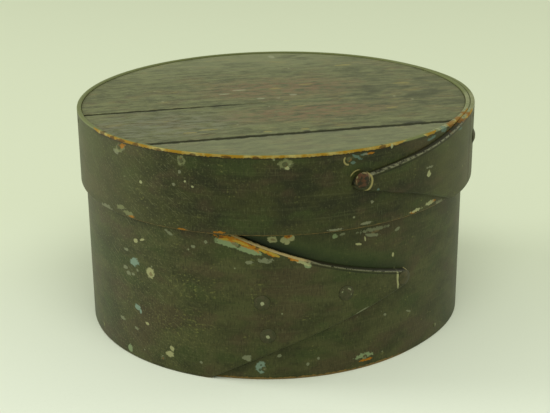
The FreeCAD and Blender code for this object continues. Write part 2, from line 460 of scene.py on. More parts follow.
def fade(value, start, end):
    """0 before start and 1 after end, soft between. start may be above end."""
    values = {"Value": value, "From Min": start, "From Max": end, "To Min": 0.0, "To Max": 1.0}
    return add(value.tree, "MapRange", values, interpolation_type="SMOOTHSTEP")


def stretch(value, start, end, soft):
    """1 between two values and 0 outside them."""
    return fade(value, start - soft, start + soft) * fade(value, end + soft, end - soft)


def lay_over(under, over, share):
    """One colour over another."""
    return add(tree_of(under, over, share), "Mix", {0: share, 6: under, 7: over}, 2, data_type="RGBA")


def lay_all(colour, layers):
    """Each layer is (shade, mask, share)."""
    for shade, mask, share in layers:
        colour = lay_over(colour, seen(*shade), mask * share)
    return colour


# %% Groups
def new_group(name, inputs):
    """inputs is {label: default}, and comes back as {label: field}. The one output is Mask."""
    group = bpy.data.node_groups.new(name, "ShaderNodeTree")
    for label, default in inputs.items():
        kind = "NodeSocketVector" if isinstance(default, tuple) else "NodeSocketFloat"
        group.interface.new_socket(label, in_out="INPUT", socket_type=kind).default_value = default
    group.interface.new_socket("Mask", in_out="OUTPUT", socket_type="NodeSocketFloat")
    sockets = group.nodes.new("NodeGroupInput").outputs
    return group, {label: Field(sockets[label]) for label in inputs}


def close_group(mask):
    result = mask.tree.nodes.new("NodeGroupOutput")
    mask.tree.links.new(mask.socket, result.inputs["Mask"])


def use(group, **values):
    values = {key.replace("_", " "): value for key, value in values.items()}
    return add(tree_of(*values.values()), "Group", values, "Mask", node_tree=group)


# %% [markdown]
# ## Effects that several finishes share
#
# Streaks, ragged wear along an edge, a chip with a place of its own, an arc of worn paint
# round a nail, and scattered specks are each a node group with named inputs, all in
# millimetres. Each finish places them with its own values. A group is built once, so a better
# chip is better on every finish.

# %% Streaks: noise drawn out along X
nowhere = (0.0, 0.0, 0.0)
streaks, give = new_group("streaks", {"Place": nowhere, "Length": 40.0, "Width": 0.5})
size = add(streaks, "CombineXYZ", {"X": give["Length"], "Y": give["Width"], "Z": give["Length"]})
place = vector_calc("DIVIDE", give["Place"], size)
close_group(add(streaks, "TexNoise", {"Vector": place, "Scale": 1.0, "Detail": 3.0, "Roughness": 0.6}, "Fac"))


def streaked(place, length, width):
    return use(streaks, Place=place, Length=length, Width=width)


# %% Ragged wear up to a width from an edge
worn_edge, give = new_group("worn_edge", {"Distance": 0.0, "Width": 1.0, "Ragged": 0.5, "Bites": 0.0})
reach = give["Bites"] * give["Ragged"] + 1.0
past = give["Distance"] - reach * give["Width"]
close_group(fade(past, 0.1, -0.1) * fade(give["Width"], 0.0, 0.12))

# %% A chip: a ragged oval at a place
chip, give = new_group("chip", {"Place": nowhere, "Centre": nowhere, "Half Size": (1.0, 1.0, 1.0),
                                "Turn": 0.0, "Ragged": 0.6, "Bites": 0.0})
apart = turned_by(vector_calc("SUBTRACT", give["Place"], give["Centre"]), give["Turn"])
share = vector_calc("LENGTH", vector_calc("DIVIDE", apart, give["Half Size"]), output="Value")
close_group(fade(share + give["Bites"] * give["Ragged"], 1.15, 0.8))

# %% An arc round a centre
arc, give = new_group("arc", {"Place": nowhere, "Centre": nowhere, "Radius": 3.0, "Thickness": 0.4,
                              "Towards": (1.0, 0.0, 0.0), "Opening": 0.3})
apart = vector_calc("SUBTRACT", give["Place"], give["Centre"])
off = abs(vector_calc("LENGTH", apart, output="Value") - give["Radius"])
ring = fade(off / give["Thickness"], 1.0, 0.3)
lean = vector_calc("DOT_PRODUCT", vector_calc("NORMALIZE", apart), give["Towards"], "Value")
close_group(ring * fade(lean - give["Opening"], -0.1, 0.1))

# %% Specks: some cells of a scatter hold a small round spot
specks, give = new_group("specks", {"Place": nowhere, "Spacing": 4.0, "Share": 0.3, "Size": 0.3})
place = add(specks, "VectorMath", {0: give["Place"], 3: 1.0 / give["Spacing"]}, operation="SCALE")
cells = {"Vector": place, "Scale": 1.0, "Randomness": 1.0}
cell, distance = add(specks, "TexVoronoi", cells, ("Color", "Distance"))
lot, large = add(specks, "SeparateColor", {"Color": cell}, ("Red", "Green"))
spot = fade(distance - give["Size"] * large * 1.4 / give["Spacing"], 0.03, -0.03)
close_group(spot * calc("LESS_THAN", lot, give["Share"]))
print("shared effects:", [g.name for g in bpy.data.node_groups])

# %% [markdown]
# ## A material to fill in
#
# Each finish is one Principled shader. Its colour, roughness and height are built up and
# joined at the end. Heights go through one Bump node, in metres. The paint is matt, so it
# mirrors little.

# %% Start and close a material
def start_material(name):
    material = bpy.data.materials.new(name)
    material.use_nodes = True
    return material, material.node_tree


def close_material(colour, roughness, height, depth_mm, mirror=0.5):
    tree = colour.tree
    shader = tree.nodes["Principled BSDF"]
    shader.inputs["Specular IOR Level"].default_value = mirror
    normal = add(tree, "Bump", {"Strength": 1.0, "Distance": depth_mm * METRE, "Height": height}, "Normal")
    for key, field in (("Base Color", colour), ("Roughness", roughness), ("Normal", normal)):
        tree.links.new(field.socket, shader.inputs[key])


# %% Where a point is
def uv_place(tree, name):
    return add(tree, "UVMap", {}, "UV", uv_map=name)


def kept_value(tree, name):
    return add(tree, "Attribute", {}, "Fac", attribute_name=name)


def grain_place(tree, angle, rise=1000.0):
    """Object space turned to a grain, in millimetres. With a rise of 0, height doesn't count."""
    source = add(tree, "TexCoord", {}, "Object")
    return add(tree, "Mapping", {"Vector": source, "Scale": (1000.0, 1000.0, rise),
                                 "Rotation": (0.0, 0.0, math.radians(-angle))})


# %% [markdown]
# ## Old paint on a strip
#
# The paint is not one green. It has gone brown in patches and stayed green in others, it
# is rubbed pale in fine flecks, and the wood under it has opened fine checks across the
# strip, which show as short upright ticks. It was brushed along the strip. One noise between
# two greens would look flat, so each of these is a thin layer of its own.

# %% The weathered coat
def old_coat(place, dark, light, flecked):
    """The colour of the coat, and its height. flecked is how far the flecks show."""
    mottle = streaked(place, 13.0, 8.0)
    hue = streaked(place, 24.0, 13.0)
    brush = streaked(place, 34.0, 0.9)
    fibre = streaked(place, 4.0, 0.3)
    ticks = streaked(place, 0.42, 2.4)
    fleck = streaked(place, 0.75, 0.6)
    colour = lay_all(lay_over(dark, light, fade(mottle, 0.36, 0.64)), [
        ((68, 57, 38), fade(hue, 0.5, 0.62), 0.55),
        ((52, 63, 27), fade(hue, 0.47, 0.36), 0.6),
        ((92, 94, 60), fade(brush, 0.52, 0.72), 0.18),
        ((28, 29, 16), fade(ticks, 0.48, 0.34), 0.42),
        ((30, 31, 17), fade(fibre, 0.42, 0.28), 0.4),
        ((98, 100, 68), fade(ticks, 0.58, 0.7), 0.28),
        ((114, 116, 76), fade(fleck, 0.55, 0.7), flecked),
    ])
    return colour, brush * 0.35 + ticks * 0.45 + fibre * 0.3


# %% The bites of ragged edges, shared by all the chips of a finish
def edge_bites(place, scale):
    settings = {"Vector": place, "Scale": scale, "Detail": 4.0, "Roughness": 0.6}
    return (add(place.tree, "TexNoise", settings, "Fac") - 0.5) * 2.6


# %% Slanting scratches
def scratches(place, slant):
    return fade(streaked(turned_by(place, math.radians(slant)), 8.0, 0.35), 0.58, 0.7)


# %% Chips and arcs, from lists of places
def chips(place, bites, marks):
    """Each mark is (along, height, half length, half height, turn, raggedness)."""
    return most([use(chip, Place=place, Centre=(along, height, 0), Half_Size=(half_long, half_high, 1),
                     Turn=math.radians(-turn), Ragged=ragged, Bites=bites)
                 for along, height, half_long, half_high, turn, ragged in marks])


def arcs(place, marks):
    """Each mark is (along, height, radius, thickness, direction, opening)."""
    return most([use(arc, Place=place, Centre=(along, height, 0), Radius=radius, Thickness=thickness,
                     Towards=(math.cos(math.radians(turn)), math.sin(math.radians(turn)), 0), Opening=opening)
                 for along, height, radius, thickness, turn, opening in marks])


# %% A soft oval zone
def zone(place, centre, half_size):
    """1 in the middle of an oval, and less and less towards its edge."""
    apart = vector_calc("DIVIDE", vector_calc("SUBTRACT", place, (*centre, 0)), (*half_size, 1))
    return fade(vector_calc("LENGTH", apart, output="Value"), 1.0, 0.3)


# %% [markdown]
# ## Knocks and chips
#
# The knocks are written down as a list for each colour that shows where the paint is gone,
# with that colour and how much of it covers the coat. Cream and pale green are an older
# coat, and orange is bare wood that has been varnished. The base finger's upper edge has
# lost most of its paint just below the lid. Chips scattered at random would be less work, but
# real wear has its reasons, and most of it lies along edges.

# %% Chips of the base
base_chips = {
    "grey": (
        [(-130.7, 31.4, 1.2, 0.6, 0, 0.9), (-129.2, 29.8, 1.2, 0.8, 0, 0.9), (-126.7, 30.0, 0.8, 0.5, 0, 0.8),
         (-124.6, 31.9, 0.6, 0.5, 0, 0.8), (-129.8, 37.7, 1.2, 0.5, 0, 0.9), (-134.0, 12.2, 1.5, 0.6, 0, 0.9),
         (-126.5, 10.9, 0.9, 0.5, 0, 0.9), (-110.9, 48.1, 1.5, 0.5, -25, 0.8),
         (-102.1, 44.7, 0.7, 0.5, 0, 0.8), (-98.0, 46.7, 0.6, 0.5, 0, 0.8), (-85.5, 8.4, 1.5, 1.0, -10, 0.9),
         (-43.7, 45.7, 2.5, 0.6, -8, 1.0), (-43.0, 47.5, 5.0, 0.6, 0, 1.3), (-33.1, 45.4, 1.0, 0.6, 0, 0.9),
         (-75.3, 8.4, 0.6, 0.6, 0, 0.7), (-62.4, 6.4, 0.5, 0.5, 0, 0.7), (-66.0, 4.8, 0.5, 0.6, 0, 0.7),
         (-37.8, 16.9, 0.7, 0.5, 0, 0.9), (-26.4, 14.8, 1.2, 0.3, -25, 0.8), (-54.5, 47.8, 1.0, 0.4, 0, 0.9),
         (-100.8, 5.2, 0.5, 0.4, 0, 0.7), (-48.0, 21.4, 2.6, 0.3, 20, 0.5), (-79.5, 41.6, 2.4, 0.8, 0, 1.3),
         (-84.5, 41.0, 1.2, 0.5, 0, 1.2)],
        (116, 120, 92), 0.8),
    "pale green": (
        [(-91.0, 47.0, 4.0, 1.2, -12, 0.7), (-84.2, 44.8, 4.2, 1.0, -14, 0.7),
         (-66.4, 39.5, 1.3, 0.9, -20, 0.8), (-46.0, 4.4, 3.2, 1.0, 0, 1.0), (-130.4, 2.3, 1.1, 1.4, 0, 0.8),
         (-57.3, 47.5, 0.9, 0.7, 0, 0.9)],
        (126, 142, 102), 0.8),
    "cream": (
        [(-118.8, 32.6, 1.7, 1.8, 0, 0.5), (-124.8, 42.1, 1.0, 0.7, 10, 0.7),
         (-121.7, 43.2, 1.0, 0.4, 20, 0.7), (-111.2, 7.9, 0.8, 0.9, 0, 0.7), (-112.2, 5.8, 1.5, 1.1, 10, 0.6),
         (-121.3, 14.2, 0.8, 0.5, 0, 0.7), (-80.5, 26.8, 0.7, 0.8, 0, 0.5), (-78.6, 16.1, 0.7, 0.8, 0, 0.6),
         (-77.3, 47.9, 1.5, 1.0, 0, 0.7), (-48.8, 43.6, 1.2, 0.4, -15, 0.8),
         (-46.4, 45.0, 0.35, 0.8, 10, 0.6), (-34.9, 37.1, 0.5, 0.8, 0, 0.6), (-34.0, 28.9, 0.5, 3.6, 4, 0.3),
         (-73.7, 47.7, 1.1, 1.0, 0, 0.5), (-71.5, 48.2, 1.2, 1.0, 0, 0.5), (-72.6, 46.9, 0.9, 0.9, 0, 0.5),
         (-68.6, 40.9, 3.2, 0.6, -24, 0.9)],
        (152, 152, 108), 0.85),
    "brown": (
        [(-118.6, 32.2, 0.8, 0.7, 0, 0.7), (-77.1, 47.9, 0.8, 0.4, -10, 0.7), (-42.5, 46.6, 1.6, 0.4, 0, 1.2),
         (-88.5, 46.6, 1.6, 0.5, -30, 1.2)],
        (104, 92, 60), 0.75),
    "orange": (
        [(-90.0, 48.4, 4.4, 0.9, -8, 0.8), (-84.6, 46.4, 3.6, 0.9, -26, 0.9), (-72.3, 48.9, 1.3, 0.8, 0, 0.8),
         (-70.8, 41.8, 1.6, 0.5, -20, 0.9), (-45.0, 2.7, 2.6, 0.4, 0, 1.0),
         (-79.0, 44.3, 3.2, 0.55, -26, 0.9)],
        (160, 102, 6), 0.85),
    "gold": (
        [(-87.0, 47.3, 2.4, 0.5, -20, 1.0), (-80.5, 45.0, 2.2, 0.5, -26, 1.0),
         (-91.6, 48.2, 1.6, 0.4, 0, 1.0), (-76.6, 43.6, 2.0, 0.5, -26, 1.0)],
        (160, 136, 48), 0.8),
    "red brown": (
        [(-84.0, 47.2, 1.0, 0.45, -26, 0.9), (-82.0, 45.6, 0.8, 0.4, 0, 0.9), (-72.2, 48.8, 0.6, 0.4, 0, 0.9),
         (-93.0, 48.8, 0.9, 0.3, 0, 0.9)],
        (92, 46, 22), 0.7),
    "blue": (
        [(-126.1, 34.5, 2.1, 1.4, 10, 0.7), (-125.4, 18.8, 1.3, 1.0, -20, 0.8),
         (-124.0, 17.6, 0.5, 0.8, 0, 0.6), (-81.4, 4.3, 1.6, 2.1, 0, 0.6)],
        (122, 145, 128), 0.75),
    "green": (
        [(-81.6, 3.5, 0.5, 0.55, 0, 0.5), (-81.3, 5.2, 0.4, 0.3, 20, 0.5)],
        (60, 66, 40), 0.8),
}
base_arcs = [(-31.6, 29.0, 2.75, 0.3, -5, 0.45)]

# %% Chips of the lid
lid_chips = {
    "grey": (
        [(-110.0, 64.9, 0.8, 0.5, 0, 0.9), (-107.8, 69.1, 0.5, 0.5, 0, 0.8), (-49.0, 51.6, 2.2, 0.4, 0, 1.2),
         (-16.5, 51.0, 2.0, 0.6, 0, 1.0), (-133.4, 71.1, 1.3, 0.9, 0, 0.9), (-47.5, 58.2, 0.6, 0.5, 0, 0.8),
         (-141.0, 50.9, 3.0, 0.7, 0, 1.2), (-25.5, 65.2, 1.8, 0.35, 0, 1.4), (-60.0, 51.0, 2.4, 0.4, 0, 1.4)],
        (116, 118, 92), 0.8),
    "pale green": (
        [(-132.5, 53.0, 2.2, 0.8, 8, 1.0), (-128.8, 51.7, 2.2, 0.9, -4, 1.0),
         (-131.6, 72.6, 2.6, 1.3, 25, 0.9), (-107.2, 72.8, 1.3, 1.6, 0, 0.6),
         (-75.3, 73.0, 2.2, 1.5, 0, 0.7)],
        (122, 126, 86), 0.6),
    "orange": (
        [(-130.3, 73.6, 1.6, 0.7, 25, 0.9), (-127.2, 51.0, 1.4, 0.4, 0, 1.0),
         (-95.5, 51.1, 1.8, 0.35, 0, 1.0), (-20.2, 52.3, 1.4, 0.4, 6, 1.2), (-49.0, 73.9, 2.0, 0.3, 0, 1.1),
         (-107.5, 50.7, 1.8, 0.3, 0, 1.0), (-30.5, 51.2, 1.6, 0.4, 0, 1.0)],
        (150, 98, 16), 0.8),
    "cream": (
        [(-25.5, 63.1, 0.9, 1.1, 0, 0.7), (-40.6, 74.9, 0.5, 0.7, 0, 0.6), (-29.0, 51.5, 2.6, 0.5, 4, 1.1),
         (-22.4, 52.1, 2.6, 0.6, 6, 1.3), (-74.9, 71.9, 1.0, 0.5, -30, 0.8),
         (-106.1, 66.3, 0.35, 0.35, 0, 0.6), (-103.7, 64.9, 0.5, 0.35, 0, 0.6),
         (-122.5, 63.4, 0.6, 0.5, 0, 0.7)],
        (152, 154, 112), 0.85),
    "burnt": (
        [(-9.6, 75.2, 2.6, 0.9, 0, 1.3), (-3.4, 75.2, 2.2, 0.8, 0, 1.3), (3.0, 75.3, 2.0, 0.6, 0, 1.4),
         (-12.6, 73.4, 0.8, 0.5, 0, 1.0)],
        (122, 80, 16), 0.75),
    "dark": (
        [(-141.0, 75.3, 1.6, 0.5, 0, 0.6), (-135.0, 75.2, 1.2, 0.5, 0, 0.6), (-130.5, 75.1, 2.2, 0.5, 0, 0.6),
         (-124.0, 75.2, 1.5, 0.5, 0, 0.6), (-115.0, 75.1, 1.4, 0.4, 0, 0.6), (-103.0, 75.1, 1.0, 0.4, 0, 0.6),
         (-93.0, 75.1, 1.6, 0.4, 0, 0.6), (-84.0, 75.1, 1.0, 0.4, 0, 0.6), (-44.0, 75.2, 1.3, 0.5, 0, 0.6)],
        (72, 50, 20), 0.75),
    "blue": (
        [(-50.6, 73.9, 1.3, 0.4, 0, 1.0), (-53.2, 73.4, 1.8, 0.5, -30, 1.4), (-54.4, 71.8, 0.6, 0.5, 0, 1.0),
         (-22.5, 73.7, 2.6, 0.45, 8, 1.0), (-15.4, 74.9, 2.0, 0.9, 0, 0.9), (-6.5, 73.0, 1.4, 0.5, 0, 1.3),
         (-46.4, 62.5, 0.5, 0.4, 0, 0.8)],
        (90, 114, 102), 0.65),
}
lid_arcs = [(-51.7, 65.6, 3.1, 0.5, -12, 0.45), (-55.9, 72.7, 1.4, 0.4, 205, 0.35),
            (-52.4, 66.2, 3.0, 0.3, 120, 0.85)]
for name, chip_lists in (("base", base_chips), ("lid", lid_chips)):
    print("chips on the", name, sum(len(marks) for marks, shade, share in chip_lists.values()))

# %% [markdown]
# ## The two painted finishes
#
# Both strips have the same coat, wear and chips, each with its own places and shades. Wear
# along the edges comes from the values kept in the mesh: a raised edge rubs pale first and
# then through to orange wood, and a dark line lies beside it, dirt along a finger's edge.
# The pale line on a finger's upper bevel is a painted highlight, where the bevel catches the
# light; on the base it is also worn through to bare wood.

# %% Wear along the cut upper edge of a finger
def wear_finger(colour, bites, ridge_width, upper_mask, bared):
    """The bevelled face has a painted highlight next to the outer face, bare wood where the base is worn
    through, and is dirty further in.
    """
    depth, to_upper = kept_value(colour.tree, "depth"), kept_value(colour.tree, "to_upper")
    bevel = fade(to_upper, 0.34, 0.14) * upper_mask
    # the ridge is a painted highlight, where the bevel catches the light
    ridge = fade(depth - (bites * 0.3 + ridge_width), 0.1, -0.1) * bevel
    ridge = ridge * most([fade(bites, 0.35, -0.15), bared])
    pale = lay_over(seen(132, 132, 102), seen(170, 152, 104), bared) if bared else seen(132, 132, 102)
    dirt = stretch(to_upper, 0.45, 0.9, 0.15) * upper_mask * (1.0 - bared)
    colour = lay_over(colour, seen(27, 26, 14), bevel * 0.85)
    colour = lay_over(colour, pale, ridge * (bared * 0.3 + 0.6))
    return lay_over(colour, seen(26, 25, 14), dirt * 0.6)


# %% The covered layer beside the base finger
def covered_layer(colour, along, up):
    """It stayed greener, and the narrow corner under the lid is painted dark, as painted shade."""
    covered = fade(kept_value(colour.tree, "turned"), 0.0, -1.0)
    above = up + along * 0.3
    green = stretch(along, -90.0, -28.0, 5.0) * fade(above, 32.0, 23.0) * fade(up, 28.0, 32.0)
    # painted shade: the recessed corner above the finger, under the lid's edge, is darkened
    beside = fade(above, 25.6, 21.6) * covered * fade(up, 30.0, 33.0)
    shadow = stretch(along, -92.0, -68.0, 6.0) * 0.5 + 0.42
    return lay_all(colour, [((42, 60, 24), green * covered, 0.55), ((14, 22, 9), beside, shadow)])


# %% A strip's rim and its two bare edges
def wear_edges(colour, along, from_top, from_bottom, widths, bites, broad):
    """Gives the colour, and where the paint is gone. A strip that the lid hides keeps its rim."""
    top_width, bottom_width = widths
    rim = fade(from_top, 0.7, 0.35)
    pale_rim = rim * stretch(along, -22.0, 30.0, 4.0) * fade(bites, -0.3, 0.2)
    colour = lay_all(colour, [((106, 113, 68), rim, 0.85), ((146, 148, 114), pale_rim, 0.65)])
    gone = bare_low = use(worn_edge, Distance=from_bottom, Width=bottom_width, Ragged=0.9, Bites=bites)
    if top_width:
        under = stretch(from_top, 0.6, 1.2, 0.2) * fade(top_width, 0.05, 0.3)
        bare_top = use(worn_edge, Distance=from_top, Width=top_width, Ragged=0.55, Bites=bites)
        bare_top = bare_top * fade(kept_value(colour.tree, "depth"), 0.32, 0.16)
        wood = lay_over(seen(140, 108, 20), seen(160, 150, 90), fade(broad, -0.2, 0.4))
        colour = lay_over(lay_over(colour, seen(34, 27, 14), under * 0.6), wood, bare_top)
        gone = most([bare_top, bare_low])
    return lay_over(colour, seen(118, 96, 52), bare_low), gone


# %% One painted strip
def strip_paint(name, shades, fleck_zones, chip_lists, arc_list, bottom, top, wear):
    material, tree = start_material(name)
    on_base = bottom == 0.0
    place, spot = uv_place(tree, "strip"), uv_place(tree, "spot")
    along, up = add(tree, "SeparateXYZ", {0: spot}, ("X", "Y"))
    bites, broad = edge_bites(spot, 0.9), edge_bites(spot, 0.16)
    left = fade(along, -88.0, -118.0)
    colour, height = old_coat(place, *shades, left * 0.34 + 0.16)
    if not on_base:
        # painted sheen: the lid's strip is painted lighter away from the middle of its front, like paint
        # catching the light at a slant
        sides = 1.0 - stretch(along, -120.0, -26.0, 13.0)
        colour = lay_over(colour, seen(88, 88, 52), sides * 0.34)
    flecked = most([fade(broad, 0.1, 0.5)] + [zone(spot, *oval) for oval in fleck_zones])
    ochre = fade(streaked(place, 1.3, 0.9), 0.56, 0.66)
    colour = lay_all(colour, [((112, 114, 82), scratches(place, 35), left * 0.45),
                              ((110, 112, 60), ochre * flecked, 0.55)])
    if on_base:
        colour = covered_layer(colour, along, up)
    ridge_width, *widths = wear(along)
    colour, gone = wear_edges(colour, along, top - up, up - bottom, widths, bites, broad)
    for marks, shade, share in chip_lists.values():
        mask = chips(spot, bites, marks) * share
        colour = lay_over(colour, seen(*shade), mask)
        gone = most([gone, mask])
    bared = stretch(along, -93.0, -66.0, 2.0) if on_base else 0.0
    colour = wear_finger(colour, bites, ridge_width, fade(up, top - 0.6, top - 1.6), bared)
    ring = arcs(spot, arc_list)
    tiny = use(specks, Place=place, Spacing=5.0, Share=0.35, Size=0.3)
    colour = lay_all(colour, [((150, 140, 88), ring, 0.8), ((126, 130, 98), tiny, 0.75)])
    gone = most([gone, tiny])
    roughness = height * 0.2 + gone * 0.2 + 0.36
    close_material(colour, roughness, height - gone * 0.8 + ring * 1.2, 0.07, 0.16)
    return material


# %% Where the edges are worn
def base_wear(along):
    """The finger's ridge, its painted highlight, as a share of its bevel, and the widths of the bare edges,
    high and low.
    """
    ridge = stretch(along, -92.0, -64.0, 2.0) * 0.3 + 0.2
    return ridge, None, stretch(along, -96.0, -30.0, 8.0) * 0.7 + 0.1


def lid_wear(along):
    ridge = stretch(along, -52.0, -33.0, 5.0) * 0.3 + 0.28
    front, lap, patch = (-146.0, -36.0, 2.5), (-12.5, 9.0, 1.0), (-26.0, -20.5, 1.0)
    high = most([stretch(along, *part) for part in (front, lap, patch)])
    return ridge, high * 0.78, stretch(along, -132.0, -14.0, 6.0) * 0.2 + 0.04


# %% Paint the two strips
base_shades = (seen(52, 54, 27), seen(68, 70, 38))
lid_shades = (seen(37, 39, 18), seen(54, 56, 26))
base_flecks = [((-102, 31), (16, 8)), ((-106, 17), (17, 10)), ((-82, 31), (5, 6))]
base_paint = strip_paint("base_paint", base_shades, base_flecks, base_chips, base_arcs,
                         0.0, board_bottom, base_wear)
lid_paint = strip_paint("lid_paint", lid_shades, [], lid_chips, lid_arcs,
                        lid_bottom, box_height, lid_wear)
print("painted strips:", len(base_paint.node_tree.nodes), "and", len(lid_paint.node_tree.nodes), "nodes")

# %% [markdown]
# ## The painted top
#
# The board's paint has dried uneven and been worn thin along the grain. In the middle,
# where hands and dishes rubbed it, a reddish brown shows, and dirt has gathered in the
# crack and the split. The pattern lies in object space and runs on across the split, because
# both pieces were one board when it was painted. It is turned to the grain and laid flat, so
# that it doesn't change over the raised grain.

# %% The grain of the lid's board
grain_angle = -52.3
split_distance = 45.0         # where the front strip split off, from the middle
split_width = 0.4
crack_distance = 6.8
crack_end = -3.0              # along the grain, where the crack closes
crack_width = 0.6             # at the rim
along_grain = Vector((math.cos(math.radians(grain_angle)), math.sin(math.radians(grain_angle)), 0))
to_front = Vector((along_grain.y, -along_grain.x, 0))

# %% The board's paint
board_paint, tree = start_material("board_paint")
place = grain_place(tree, grain_angle, 0.0)
along, across = add(tree, "SeparateXYZ", {0: place}, ("X", "Y"))
bites = edge_bites(place, 0.3)
cloud = streaked(place, 15.0, 9.0)
blotch = streaked(place, 4.6, 2.0)
streak = streaked(place, 9.0, 0.8)
fibre = streaked(place, 3.0, 0.35)
fleck = streaked(place, 1.2, 0.9)
rubbed = most([zone(place, (4, 12), (40, 20)), zone(place, (6, -22), (40, 14))])
colour = lay_over(seen(78, 82, 49), seen(101, 105, 66), fade(streaked(place, 26.0, 3.2), 0.36, 0.62))
colour = lay_all(colour, [
    ((80, 66, 44), fade(cloud, 0.5, 0.62), 0.4),
    ((58, 62, 33), fade(cloud, 0.47, 0.36), 0.5),
    ((118, 120, 80), fade(blotch, 0.5, 0.66), 0.4),
    ((56, 56, 32), fade(blotch, 0.47, 0.34), 0.5),
    ((126, 128, 88), fade(streak, 0.54, 0.7), 0.3),
    ((42, 41, 23), fade(streak, 0.46, 0.3), 0.45),
    ((38, 36, 22), fade(fibre, 0.42, 0.28), 0.4),
    ((126, 126, 90), fade(fleck, 0.56, 0.72), 0.4),
    ((123, 128, 92), fade(across, 24.0, 68.0) * fade(cloud, 0.2, 0.6), 0.62),           # lighter towards the back
    ((106, 107, 92), zone(place, (-46, -26), (40, 22)) * fade(blotch, 0.4, 0.6), 0.5),  # painted sheen, grey at the left
    ((57, 59, 32), zone(place, (46, -8), (36, 30)) * fade(cloud, 0.6, 0.4), 0.75),      # dark side
    ((116, 80, 58), rubbed * fade(blotch, 0.38, 0.6), 0.5),                             # rubbed middle
    ((140, 130, 70), fade(cloud, 0.48, 0.62) * fade(streak, 0.53, 0.64), 0.4),          # yellow
])

# %% Marks on the board, each (along, across, half length, half width, turn, raggedness)
board_marks = [
    ([(3, 11, 2.6, 0.7, 0, 0.5), (15, 14, 3.0, 0.8, 0, 0.5), (-30, -34, 3.2, 0.8, 0, 0.5),
      (49, 7, 3.0, 1.0, 0, 0.5), (35, -24, 2.4, 0.8, 0, 0.5), (37, 39, 3.4, 1.2, 0, 0.5),
      (-36, -36, 2.4, 0.7, 0, 0.5), (0, -41, 1.4, 0.8, 0, 0.5), (-12, -41, 1.6, 0.8, 0, 0.5),
      (6, -14, 1.6, 0.5, 0, 0.5), (3, -6, 1.2, 0.5, 0, 0.5)], (142, 132, 68), 0.5),
    ([(13.5, 60, 1.2, 2.6, 0, 0.3), (-10, 12, 2.6, 0.8, 0, 0.5), (-16, 8, 2.0, 0.7, 0, 0.5),
      (-5, -1, 1.4, 0.8, 0, 0.5), (7, 1, 1.4, 0.9, 0, 0.5), (1, -2, 0.8, 0.5, 0, 0.5)], (148, 150, 120), 0.5),
    ([(0, -44.0, 1.4, 1.3, 0, 0.4), (35, -43.4, 3.4, 1.1, 4, 0.5), (19, -43.8, 4.0, 0.8, 0, 0.5),
      (-20, -44.4, 3.0, 0.7, 0, 0.5), (-44, -7.6, 1.5, 1.0, 0, 0.4), (-21, -6.8, 3.0, 0.8, 0, 0.5),
      (-33, -7.0, 4.0, 0.6, 0, 0.5)], (36, 38, 17), 0.8)]
for marks, shade, share in board_marks:
    colour = lay_over(colour, seen(*shade), chips(place, bites, marks) * share)

# %% The split-off strip, and dirt in the crack and in the split
light = use(specks, Place=place, Spacing=5.0, Share=0.3, Size=0.45)
front_strip = fade(across, -split_distance + 0.1, -split_distance - 0.1)
split_line = fade(abs(across + split_distance) + bites * 1.1, 1.6, 0.9)
crack_line = fade(abs(across + crack_distance) + bites, 1.1, 0.5) * fade(along, 14.0, -44.0)
dirt = most([split_line, crack_line])
colour = lay_all(colour, [((146, 146, 112), light, 0.6), ((120, 124, 94), front_strip, 0.35),
                          ((36, 38, 17), dirt, 0.9)])
height = streak * 0.6 + fibre * 0.5 + blotch * 0.4 - dirt
close_material(colour, streak * 0.25 + 0.42 + dirt * 0.4, height, 0.09, 0.35)
print("board paint:", len(tree.nodes), "nodes")

# %% [markdown]
# ## Bare wood
#
# Inside and underneath, the wood was never painted. It has gone a warm brown, with fine pores
# along the grain. The strips take it along their UV map and the boards in object space.

# %% Wood that was never painted
def bare_wood(name, angle=None):
    """Along the strip, or where angle gives a direction, along a board's grain."""
    material, tree = start_material(name)
    place = uv_place(tree, "strip") if angle is None else grain_place(tree, angle)
    fine = streaked(place, 26.0, 0.45)
    pores = streaked(place, 3.0, 0.12)
    stain = streaked(place, 24.0, 18.0)
    colour = lay_over(seen(148, 116, 76), seen(172, 140, 96), fade(streaked(place, 90.0, 3.5), 0.38, 0.62))
    colour = lay_all(colour, [
        ((118, 88, 54), fade(fine, 0.5, 0.36), 0.6),
        ((96, 72, 46), fade(pores, 0.36, 0.26), 0.6),
        ((112, 84, 52), fade(stain, 0.5, 0.68), 0.6),
    ])
    close_material(colour, stain * 0.2 + 0.5, fine * 0.6 + pores * 0.4, 0.06)
    return material


bare_strip = bare_wood("bare_strip")
bare_floor = bare_wood("bare_floor", 12)
bare_lid = bare_wood("bare_lid", grain_angle)
print("bare wood:", bare_strip.name, bare_floor.name, bare_lid.name)

# %% [markdown]
# ## Tacks, pegs and paper
#
# Most tack heads are painted over and have lost a spot of paint on the crown, or a ring of
# it. The one at the lid's tip has rusted through. The pegs' ends take paint badly, so they
# are patchy. The paper floor has a faint tooth, and is painted darker into the distance, as
# painted shade where the light falls off.

# %% Tack finishes
NO_CROWN = 0.0
NO_RING = 9.0                 # a radius outside the head


def tack_finish(name, shades, crown, ring, worn_shade, metallic=0.0):
    """crown and ring are the worn spot's width and the worn ring's radius, in millimetres."""
    material, tree = start_material(name)
    place = grain_place(tree, 0)
    from_centre = kept_value(tree, "from_centre")
    blotch = streaked(place, 1.5, 1.5)
    grit = streaked(place, 0.35, 0.35)
    bites = edge_bites(place, 0.8)
    spot = use(worn_edge, Distance=from_centre, Width=crown, Ragged=0.6, Bites=bites)
    part_ring = fade(abs(from_centre - ring), 0.3, 0.1) * fade(bites, 0.0, 0.25)
    colour = lay_over(*shades, fade(blotch, 0.44, 0.58))
    colour = lay_all(colour, [((24, 22, 14), fade(grit, 0.44, 0.3), 0.5),
                              (worn_shade, most([spot, part_ring]), 0.85)])
    tree.nodes["Principled BSDF"].inputs["Metallic"].default_value = metallic
    close_material(colour, grit * 0.3 + 0.42, blotch + grit * 0.5, 0.06, 0.2)
    return material


